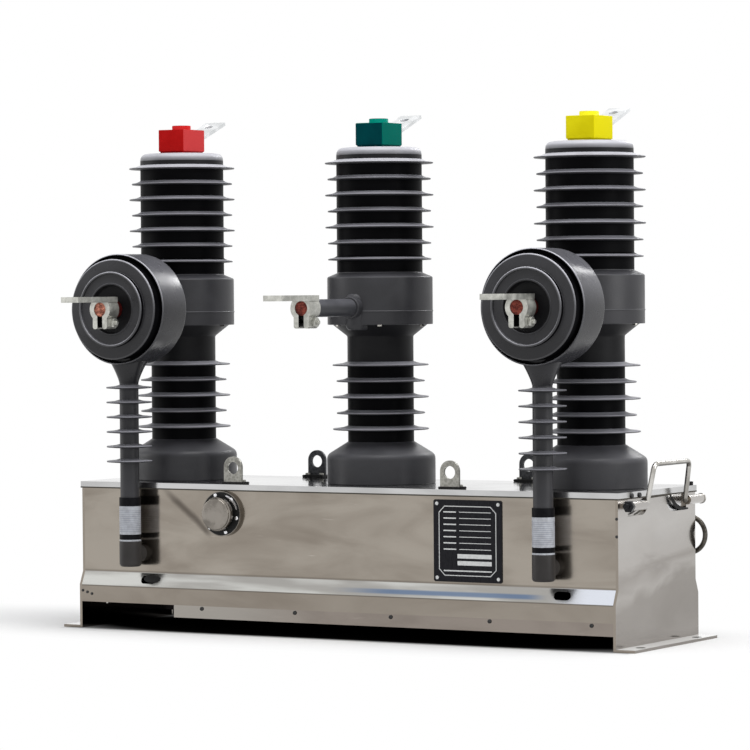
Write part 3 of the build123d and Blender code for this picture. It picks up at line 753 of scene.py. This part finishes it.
border_loops = []
for inset, y in ((0, 0), (0, -mark_depth), (frame_line, -mark_depth), (frame_line, 0)):
    w, h = plate_half.x - frame_inset - inset, plate_half.z - frame_inset - inset
    c = frame_cut - inset * 0.6
    border_loops.append([(plate_middle.x + x, plate_face + y, plate_middle.z + z) for x, z in (
        (w - c, h), (w, h - c), (w, c - h), (w - c, -h), (c - w, -h), (-w, c - h), (-w, h - c),
        (c - w, h))])
shown(finished(skinned(border_loops, closed=True), "nameplate_frame", 0), plate_white)
for name, start, drop, length, thickness, step, count in (
        ("captions", 0, 0, 20 * mm, 1.7 * mm, rule_step, 7),
        ("rules", 25 * mm, 0, 50 * mm, 0.9 * mm, rule_step, 7),
        ("fields", 22 * mm, 7.1 * rule_step, 54 * mm, 6 * mm, 9.6 * mm, 2)):
    grow("nameplate_" + name, row_tree, plate_white, "plate_black", Count=count,
         Piece=plate_mark("rule", length, thickness), Step=(0, 0, -step),
         First=(rule_left + start, plate_face, rule_top - drop))
foot_rule = plate_mark("nameplate_foot_rule", 76 * mm, 1.8 * mm)
foot_rule.transform(at(rule_left, plate_face, plate_low.z + 15.5 * mm))
shown(foot_rule, plate_white)
rivet = turned("rivet", [(0, 0, 0), (2.6, 0, 0.1), (2.3, 1.0, 0.6), (0, 1.3, 0)], 20, facing_front)
for end, z in (("top", plate_high.z - rivet_inset), ("bottom", plate_low.z + rivet_inset)):
    grow("nameplate_rivets_" + end, row_tree, plate_white, "plate_black", Piece=rivet.copy(),
         Count=2, First=(plate_low.x + rivet_inset, plate_face, z),
         Step=(2 * (plate_half.x - rivet_inset), 0, 0))


# The control cable socket: a turned flange held by six small screws, with a knurled blank screw
# cap whose face keeps the fine rings of the lathe. Both are machined from stainless bar. A black
# ring on the flange paints the shade in the gap round the cap, and a bent bright strip on its
# upper right is a painted highlight.

socket_low, socket_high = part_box("socket_cap")
socket_middle = (socket_low + socket_high) / 2
socket_steel = Finish("socket_steel", Metallic=1.0)
lathe_x = socket_steel.axis("X") - socket_middle.x
lathe_z = socket_steel.axis("Z") - socket_middle.z
lathe_radius = reckon("SQRT", lathe_x * lathe_x + lathe_z * lathe_z)
socket_cloud = socket_steel.noise(45, detail=4, bend=0.4)
socket_steel.tint(socket_cloud.spread(0.35, 0.65), (0.17, 0.155, 0.137), (0.27, 0.248, 0.222))
socket_steel.gloss(socket_cloud, 0.2, 0.34)
socket_steel.bump(reckon("SINE", lathe_radius * 9000), 0.00003, 0.5)
dress("socket_flange", socket_steel)
tin_polish = mottled("tin_polish", 120, 3, (0.70, 0.70, 0.72), (0.88, 0.88, 0.90), (0.12, 0.25),
                     Metallic=0.9)

cap_radius = (socket_high.x - socket_low.x) / 2 / mm
cap_length = (socket_high.y - socket_low.y) / mm
flange_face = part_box("socket_flange")[1].y - 6 * mm
on_flange = at(socket_middle.x, flange_face, socket_middle.z, facing_front)
at_socket = at(socket_middle.x, socket_high.y, socket_middle.z, facing_front)
cap_mesh = turned("socket_cap_turned", [
    (0, 0, 0), (cap_radius - 1.2, 0, 0.2), (cap_radius - 1.2, 1.4, 0.3), (cap_radius, 2.0, 0.3),
    (cap_radius, cap_length - 4.4, 0.3), (cap_radius - 1.4, cap_length - 3.6, 0.3),
    (cap_radius - 1.4, cap_length - 1.6, 0.3), (cap_radius - 2.4, cap_length - 0.5, 0.5),
    (cap_radius - 6, cap_length - 0.1, 2), (0, cap_length, 0)], 96, at_socket)
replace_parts(shown(cap_mesh, socket_steel), "socket_cap")
knurl = beveled_box("knurl", (-0.5 * mm, -0.45 * mm, 2.6 * mm),
                    (0.35 * mm, 0.45 * mm, (cap_length - 5) * mm), 0.2 * mm, 1)
grow("socket_cap_knurls", ring_tree, socket_steel, Piece=knurl, Count=72,
     Radius=cap_radius * mm, Place=at_socket.translation, Turn=(math.radians(90), 0, 0))
# The black ring paints the shade in the gap round the cap.
shown(turned("socket_dark_ring", [(20.5, 0, 0), (31.2, 0, 0), (31.2, 0.5, 0.2), (20.5, 0.5, 0)], 96,
             on_flange, closed=True), rubber)
# The bright strip is a painted highlight.
arc_radius, arc_start, arc_step, arc_steps = 27.4, 72, 4.2, 14
arc_loops = []
for step in range(arc_steps + 1):
    a = math.radians(arc_start - step * arc_step)
    taper = 1 - abs(step - arc_steps / 2) ** 3 / 520
    arc_loops.append([(socket_middle.x + (arc_radius + r * taper) * mm * math.cos(a),
                       flange_face - y * mm,
                       socket_middle.z + (arc_radius + r * taper) * mm * math.sin(a))
                      for r, y in ((-1.9, 0.3), (-1.5, 1.5), (1.5, 1.5), (1.9, 0.3))])
shown(finished(skinned(arc_loops), "socket_bright_arc"), tin_polish)
flange_screw = turned("flange_screw", [(0, 0, 0), (2.8, 0, 0.2), (2.8, 2.6, 0.8), (0, 3.0, 0)], 16)
grow("socket_flange_screws", ring_tree, tin_polish, Piece=flange_screw,
     Count=6, Radius=27.6 * mm, Place=on_flange.translation,
     Turn=(math.radians(90), math.radians(12), 0))


# The three poles: solid outdoor resin with a silicone skin, cast in a two-part mould. The base
# and the collar are satin, and the sheds are thin discs with rounded rims, cast in one with the
# core. The walls between the rain sheds, the roots of the sheds, the neck below the collar and
# the band between the top shed and the dome are painted dark, a painted shade; the dome is
# painted pale, a painted top light. Each is turned about its own axis.

pole_axes = {name: sum(corner.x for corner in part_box("phase_cap_" + name)) / 2
             for name in ("a", "b", "c")}


def insulator_finish(name, dark, light, level=0.3, painted_light_share=0.0, top_light_tone=(0.36, 0.36, 0.40)):
    """Satin grey resin with faint clouds, fine pits and a pale painted top light where it faces up."""
    resin = Finish(name, Specular_IOR_Level=level)
    clouds = resin.noise(14, (1, 1, 1.6), detail=5, bend=0.3)
    pits = resin.noise(420, detail=2)
    plain = clouds.spread(0.32, 0.7).mix(dark, light)
    # The pale share on faces that look up is painted top light.
    painted_top_light = resin.facing("Z").spread(-0.1, 0.7, 0.0, painted_light_share) * clouds.spread(0.2, 0.6, 0.7, 1)
    resin.tint(painted_top_light, plain, top_light_tone)
    resin.gloss(clouds, 0.36, 0.5)
    resin.bump(pits * 0.5 + clouds * 0.5, 0.0005, 0.35)
    return resin


# The number after each gloss level, and the tone after it, give how much painted top light a resin
# takes.
core_resin = insulator_finish("core_resin", (0.024, 0.024, 0.027), (0.033, 0.033, 0.037), 0.3, 0.1)
dome_resin = insulator_finish("dome_resin", (0.034, 0.034, 0.038), (0.048, 0.048, 0.053), 0.4, 1,
                              (0.50, 0.50, 0.54))
shed_resin = insulator_finish("shed_resin", (0.018, 0.018, 0.021), (0.028, 0.028, 0.032), 0.3, 0.9)
soot_resin = insulator_finish("soot_resin", (0.0022, 0.0022, 0.0027), (0.0048, 0.0048, 0.0055),
                              0.02)
neck_resin = insulator_finish("neck_resin", (0.008, 0.008, 0.009), (0.013, 0.013, 0.014), 0.1)
base_radius, neck_radius, lip_radius, collar_radius, body_radius = 78, 47.5, 68.2, 75.7, 61.4
base_top, waist_low, neck_low, cone_low, collar_low = 41, 60, 170, 211.5, 228
seam, collar_high, top_shed, pole_top = 247, 296, 459.5, 481.5
dome_low = pole_top - 11.2
shed_pitch, lower_first, upper_first = 23.0, 78, 321.5
# The zones between the sheds and in the necks are painted shade; the dome is painted top light.
lower_zones = ((waist_low, neck_low, soot_resin), (neck_low, cone_low + 12, neck_resin))
upper_zones = ((collar_high + 7, top_shed, soot_resin), (top_shed, dome_low, neck_resin),
               (dome_low, pole_top + 1, dome_resin))
lower_profile = [
    (0, 0, 0), (base_radius - 0.8, 0, 0.5), (base_radius, 1.2, 0.6), (base_radius, base_top, 6.1),
    (neck_radius, waist_low, 1), (neck_radius, neck_low, 0), (neck_radius, cone_low, 2),
    (lip_radius, collar_low, 0.8), (collar_radius, collar_low, 1), (collar_radius, seam - 1, 0.2),
    (collar_radius + 0.6, seam - 0.5, 0.2), (collar_radius + 0.6, seam, 0), (0, seam, 0)]
upper_profile = [
    (0, seam, 0), (collar_radius + 0.6, seam, 0), (collar_radius + 0.6, seam + 0.4, 0.3),
    (collar_radius, seam + 1.2, 0.2), (collar_radius, collar_high, 2),
    (body_radius, collar_high + 6, 1.2), (body_radius, top_shed, 0), (body_radius, pole_top, 12),
    (30, pole_top + 0.01, 0), (0, pole_top + 0.01, 0)]
bulge_low, bulge_high, bulge_radius, bulge_place = 220.5, 272.5, 17.4, -62.7 * mm
bulge_profile = [(0, bulge_low, 0), (14, bulge_low, 3), (bulge_radius, bulge_low + 6, 3),
                 (bulge_radius, bulge_high - 6, 3), (14, bulge_high, 3), (0, bulge_high, 0)]
collar_bolt = turned("collar_bolt", [(0, 0.5, 0), (3.5, 0.5, 0), (3.5, -2.6, 0.7), (0, -3.0, 0)], 6)


def shed_stack(name, x, y, core, rim, first, step, count, below=2.0, above=5.2, finish=shed_resin):
    """A run of equal rain sheds: flat beneath, hollow-sloped on top, painted dark at the root as painted
    shade.
    """
    outline = [(core - 2, -below, 0), (core, -below, 0.6), (rim, -1, 0.9), (rim, 1, 0.9),
               (core + (rim - core) * 0.34, 1 + (above - 1) * 0.36, 3), (core, above, 1.2),
               (core - 2, above, 0)]
    section = turned("shed", outline, 96, closed=True, steps=3)
    sheds = grow(name, row_tree, finish, "insulator_grey", Piece=section, Count=count,
                 First=(x, y, lid_top + first * mm), Step=(0, 0, step * mm)).data
    if finish is shed_resin:
        # The roots of the sheds are painted dark, a painted shade.
        sheds.materials.append(soot_resin.material)
        for face in sheds.polygons:
            if math.hypot(face.center.x - x, face.center.y - y) < (core + (rim - core) * 0.3) * mm:
                face.material_index = 1


def coated(mesh, zones):
    """Give a pole its other finishes, each between two heights above the lid."""
    mesh.materials.append(core_resin.material)
    for low, high, finish in zones:
        mesh.materials.append(finish.material)
        for face in mesh.polygons:
            if low < (face.center.z - lid_top) / mm < high:
                face.material_index = len(mesh.materials) - 1
    return mesh


for name, x in pole_axes.items():
    stand = at(x, 0, lid_top)
    for piece, profile, zones, node in (
            ("pole_base_", lower_profile, lower_zones, "lower_insulator_"),
            ("pole_body_", upper_profile, upper_zones, "upper_insulator_")):
        half = coated(turned(piece + name, profile, 128, stand), zones)
        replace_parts(shown(half, core_resin), node + name)
    for run, core, rim, first, count, finish in (
            ("lower_sheds_wide_", neck_radius, 69, lower_first, 3, shed_resin),
            ("lower_sheds_narrow_", neck_radius, 63.5, lower_first + shed_pitch, 2, shed_resin),
            ("upper_sheds_wide_", body_radius, 77.8, upper_first + 2 * shed_pitch, 2, shed_resin),
            ("top_shed_", body_radius, 77.8, top_shed, 1, dome_resin),
            ("upper_sheds_narrow_", body_radius, 74.2, upper_first + shed_pitch, 3, shed_resin),
            ("lowest_upper_shed_", body_radius, 74.2, upper_first, 1, shed_resin)):
        shed_stack(run + name, x, 0, core, rim, first, 2 * shed_pitch, count, finish=finish)
    shown(turned("collar_bulge_" + name, bulge_profile, 48, at(x, bulge_place, lid_top)), core_resin)
    grow("collar_bolts_" + name, ring_tree, bright_bar, Piece=collar_bolt.copy(),
         Count=6, Radius=69 * mm, Place=(x, 0, lid_top + collar_low * mm), Turn=(0, 0, 0))


# The outlets: a resin boss and a heat-shrunk sleeve round a copper stud, which shows sawn and
# bare in the jaws of a cast clamp. The clamp and its bar are aluminium with a sandy skin, drawn
# together by one cross bolt. The middle sleeve is grey, the outer two are dark red.

sleeve_grey = insulator_finish("sleeve_grey", (0.030, 0.031, 0.036), (0.044, 0.045, 0.051), 0.3, 0.2)
sleeve_red = mottled("sleeve_red", 60, 4, (0.045, 0.004, 0.004), (0.13, 0.010, 0.008),
                     bump=(0.0006, 0.4), Specular_IOR_Level=0.4, Roughness=0.36)


def sawn_copper(name, dark, light):
    """Bare copper with the marks of the saw and dark tarnish between them."""
    copper = Finish(name, Metallic=0.85)
    saw_marks = copper.noise(420, (1, 1, 4), (0, 0.5, 0), 3)
    tarnish = copper.noise(170, detail=4)
    copper.tint((tarnish * 0.5 + saw_marks * 0.5).spread(0.40, 0.60), dark, light)
    copper.gloss(tarnish, 0.34, 0.56)
    copper.bump(saw_marks, 0.0005, 0.5)
    return copper


# The stud of pole a is paler copper than the other two.
fresh_copper = sawn_copper("fresh_copper", (0.07, 0.018, 0.014), (0.62, 0.25, 0.17))
old_copper = sawn_copper("old_copper", (0.055, 0.010, 0.008), (0.26, 0.060, 0.042))
cast_aluminium = Finish("cast_aluminium", Metallic=0.75)
cast_grain = cast_aluminium.noise(300, detail=4)
cast_cloud = cast_aluminium.noise(55, detail=3)
cast_tone = (cast_grain * 0.3 + cast_cloud * 0.7).spread(0.34, 0.68).mix((0.36, 0.36, 0.33),
                                                                        (0.62, 0.62, 0.575))
half_spacing, slit_half_width = pole_axes["c"] / 2, 4.3 * mm
from_pole = reckon("WRAP", cast_aluminium.axis("X"), half_spacing, -half_spacing)
slit_height = cast_aluminium.axis("Z")
# The slit between the clamp's jaws is painted near black, a painted shade.
slit_shade = (abs(from_pole) < slit_half_width) * (slit_height < 458.5 * mm) * (slit_height > 440.1 * mm)
cast_aluminium.tint(slit_shade, cast_tone, (0.008, 0.008, 0.008))
cast_aluminium.gloss(cast_cloud, 0.3, 0.5)
cast_aluminium.bump(cast_grain, 0.0005, 0.4)
cross_bolt = [(0, -20.5, 0), (3.0, -20.5, 0.4), (3.0, -17.0, 0), (6.8, -17.0, 0.3),
              (6.8, -12.4, 0.3), (3.4, -12.4, 0), (3.4, 12.4, 0), (7.2, 12.4, 0.3),
              (7.2, 16.4, 1.2), (2, 17.2, 0.4), (0, 16.2, 0)]
boss_profile = [(12.6, 40, 0), (15.8, 40, 0), (15.8, 85.4, 1.2), (14.8, 86.7, 0.5), (12.6, 86.7, 0)]
tube_profile = [(10.4, 84, 0), (12.5, 84, 0), (12.5, 189.2, 0.8), (11.8, 190, 0.3), (10.4, 190, 0)]
outlet_heights = {name: sum(corner.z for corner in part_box("terminal_rod_" + name)) / 2
                  for name in pole_axes}
for name, x in pole_axes.items():
    dress("terminal_clamp_" + name, cast_aluminium)
    dress("terminal_rod_" + name, fresh_copper if name == "a" else old_copper)
    dress("outlet_sleeve_" + name, sleeve_grey if name == "b" else sleeve_red)
    bolt_place = at(x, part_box("terminal_rod_" + name)[0].y + 13.5 * mm,
                    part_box("terminal_clamp_" + name)[0].z + 8.5 * mm, facing_left)
    shown(turned("cross_bolt_" + name, cross_bolt, 12, bolt_place), cast_aluminium)
    outlet = at(x, 0, outlet_heights[name], facing_front)
    if name == "b":
        tube = turned("outlet_tube_b", tube_profile, 64, outlet, closed=True)
        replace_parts(shown(tube, sleeve_grey), "outlet_sleeve_b")
    shown(turned("outlet_boss_" + name, boss_profile, 64, outlet, closed=True), core_resin)


# The phase caps and top bars: satin moulded covers in the three phase colours, each with a low
# round knob and a rim at its mouth, clipped over the tinned copper bar that leaves backwards. The
# bars are punched flat and keep a silky tin skin.


def moulded_colour(name, dark, light, side, top):
    """Moulded plastic, painted lighter on the faces that look right and on top: painted light."""
    plastic = Finish(name, Specular_IOR_Level=0.015)
    cloud = plastic.noise(26, detail=3)
    lit_side_share = plastic.facing("X").spread(0.3, 0.8)
    lit_top_share = plastic.facing("Z").spread(0.2, 0.7)
    plastic.tint(lit_top_share, lit_side_share.mix(cloud.spread(0.3, 0.7).mix(dark, light), side), top)
    plastic.gloss(cloud, 0.36, 0.5)
    plastic.bump(plastic.noise(700, detail=2), 0.0003, 0.35)
    return plastic


def softened(name, node, edge, sharp_from=30):
    """A copy of a piece of the frame with its edges taken off."""
    shape = merged_copy(node)
    eased(shape, [e for e in shape.edges if len(e.link_faces) == 2
                  and e.calc_face_angle(0) > math.radians(sharp_from)], edge)
    return finished(shape, name)


# Each cap's third colour is painted light on the faces that look right, and its fourth is painted light
# on top.
cap_colours = {
    "a": moulded_colour("cap_red", (0.38, 0.006, 0.006), (0.46, 0.010, 0.010),
                        (0.56, 0.050, 0.052), (0.52, 0.018, 0.018)),
    "b": moulded_colour("cap_green", (0.0, 0.034, 0.042), (0.0, 0.052, 0.058),
                        (0.0, 0.128, 0.098), (0.0, 0.20, 0.15)),
    "c": moulded_colour("cap_yellow", (0.64, 0.56, 0.004), (0.74, 0.66, 0.008),
                        (0.72, 0.64, 0.006), (0.80, 0.74, 0.02))}
tin_skin = mottled("tin_skin", 40, 4, (0.60, 0.615, 0.62), (0.80, 0.81, 0.82), (0.28, 0.44),
                   (0.0006, 0.4), (0.3, 0.7), Metallic=0.6)
for name in pole_axes:
    cap = softened("phase_cap_soft_" + name, "phase_cap_" + name, 0.9 * mm)
    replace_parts(shown(cap, cap_colours[name]), "phase_cap_" + name)
    bar = softened("top_terminal_soft_" + name, "top_terminal_" + name, 0.5 * mm)
    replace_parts(shown(bar, tin_skin), "top_terminal_" + name)


# The current transformers on the outer poles: a cast resin ring with a stepped face, whose foot
# flares into a thin stem with six small sheds. A plain sleeve with a printed band closes the
# stem's lower end and turns into the front wall. The bands are bare labels.

drum_resin = insulator_finish("drum_resin", (0.015, 0.015, 0.017), (0.023, 0.023, 0.026), 0.3, 0.3)
drum_resin.gloss(drum_resin.noise(30, detail=5), 0.22, 0.34)
edge_resin = insulator_finish("edge_resin", (0.030, 0.030, 0.033), (0.062, 0.062, 0.068), 0.45, 1,
                              (0.55, 0.55, 0.60))
sleeve_resin = insulator_finish("stem_sleeve_resin", (0.026, 0.024, 0.023),
                                (0.040, 0.037, 0.036), 0.2)
drum_profile = [
    (12.8, 105, 0), (74, 105, 1.5), (80, 111, 3), (80, 170, 1), (79, 171, 0.5), (78.2, 171, 0.4),
    (77.4, 161.5, 0.6), (72.5, 161.5, 0.6), (72.5, 183, 2), (54.8, 183, 0.6), (54.3, 190, 1.6),
    (51.2, 190, 1.4), (50.6, 186.5, 0.8), (38, 186.5, 0.3), (37.6, 187.3, 0.3), (35.6, 187.3, 0.4),
    (33.4, 180, 1.2), (30, 178.6, 1), (16, 177, 2), (12.8, 176.6, 0)]
drum_finishes = (drum_resin, soot_resin, edge_resin, neck_resin)
# Painted shade in the grooves, the ring's step and the bore; painted highlight on the turned edges.
drum_zones = (
    (edge_resin, 169.2, 171.9, 77.6, 81), (edge_resin, 104, 111.4, 76, 81),
    (soot_resin, 160, 181.2, 71.9, 78.7), (edge_resin, 181.2, 183.2, 70.7, 81),
    (edge_resin, 188.4, 191, 50.4, 54.6), (soot_resin, 183.4, 188.5, 53.8, 55.2),
    (neck_resin, 150, 186.9, 12, 37.7))
stem_axis_y, stem_radius = -143 * mm, 13.8
flare_low, flare_high, flare_half_width, flare_half_depth = 145, 194.5, 38, 22
foot_low, foot_high = -121, -84
stem_profile = [(0, foot_high, 0), (stem_radius, foot_high, 0), (stem_radius, flare_low + 1, 0),
                (0, flare_low + 1, 0)]
foot_profile = [(0, foot_low, 0), (13.6, foot_low, 2.4), (16, foot_low + 3, 2),
                (16, foot_high - 0.6, 0.8), (15, foot_high, 0), (0, foot_high, 0)]
elbow_profile = [(0, 119, 0), (12.5, 119, 0), (12.5, 140, 4), (0, 146, 0)]


def ringed(mesh, x, z):
    """Paint a drum's grooves and bore dark as painted shade and its turned edges pale as a painted
    highlight.
    """
    for finish in drum_finishes:
        mesh.materials.append(finish.material)
    for face in mesh.polygons:
        depth = -face.center.y / mm
        radius = math.hypot(face.center.x - x, face.center.z - z) / mm
        zones = [finish for finish, near, far, inner, outer in drum_zones
                 if near < depth < far and inner < radius < outer]
        face.material_index = drum_finishes.index((zones + [drum_resin])[0])
    return mesh


def waist(name, x, levels=12, around=40):
    """The waist between drum and stem, drawn in like a bottle's neck."""
    loops = []
    for level in range(levels + 1):
        t = level / levels
        open_up = t ** 1.25
        half_x = (stem_radius + (flare_half_width - stem_radius) * open_up) * mm
        half_y = (stem_radius + (flare_half_depth - stem_radius) * open_up) * mm
        power = 2 / (2 + 1.6 * open_up)
        turns = [2 * math.pi * k / around for k in range(around)]
        loops.append([(x + half_x * math.copysign(abs(math.cos(a)) ** power, math.cos(a)),
                       stem_axis_y + half_y * math.copysign(abs(math.sin(a)) ** power, math.sin(a)),
                       lid_top + (flare_low + (flare_high - flare_low) * t) * mm) for a in turns])
    return finished(skinned(loops), name, 60)


label_paper = Finish("label_paper", Roughness=0.55)
paper_tone = label_paper.noise(160, (1, 1, 1), detail=4).spread(0.3, 0.7).mix((0.36, 0.37, 0.40),
                                                                             (0.46, 0.48, 0.52))
paper_height = label_paper.axis("Z")
ruled = (reckon("SINE", paper_height * 2300).spread(0.35, 0.85, 0.0, 0.55)
         * (paper_height > 144 * mm) * (paper_height < 178 * mm))
label_paper.tint(ruled, paper_tone, (0.12, 0.14, 0.20))
label_black = mottled("label_black", 200, 3, (0.003, 0.003, 0.004), (0.010, 0.010, 0.012),
                      Roughness=0.4, Specular_IOR_Level=0.05)
label_bands = (("top_band", -20.5, -33, label_black), ("paper", -33, -74, label_paper),
               ("bottom_band", -74, -81.5, label_black), ("edge_line", -81.5, -84, label_paper))
for name in ("a", "c"):
    x = pole_axes[name]
    stand = at(x, stem_axis_y, lid_top)
    outlet = at(x, 0, outlet_heights[name], facing_front)
    drum = turned("transformer_ring_" + name, drum_profile, 128, outlet, closed=True)
    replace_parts(shown(ringed(drum, x, outlet_heights[name]), drum_resin),
                "transformer_" + name)
    shown(waist("transformer_waist_" + name, x), drum_resin)
    stem = turned("stem_core_" + name, stem_profile, 64, stand)
    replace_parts(shown(stem, core_resin), "transformer_stem_" + name)
    shed_stack("stem_sheds_" + name, x, stem_axis_y, stem_radius, 33, 32, 21.4, 6, 2.6, 4.0)
    shown(turned("stem_elbow_" + name, elbow_profile, 48,
                 at(x, 0, lid_top + (foot_low + 18) * mm, facing_front)), sleeve_resin)
    foot = turned("stem_foot_" + name, foot_profile, 64, stand)
    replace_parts(shown(foot, sleeve_resin), "transformer_foot_" + name)
    for band, top, bottom, finish in label_bands:
        wrap = [(14, bottom, 0), (15.6, bottom, 0.1), (15.6, top, 0.1), (14, top, 0)]
        shown(turned(f"stem_{band}_{name}", wrap, 64, stand, closed=True), finish)
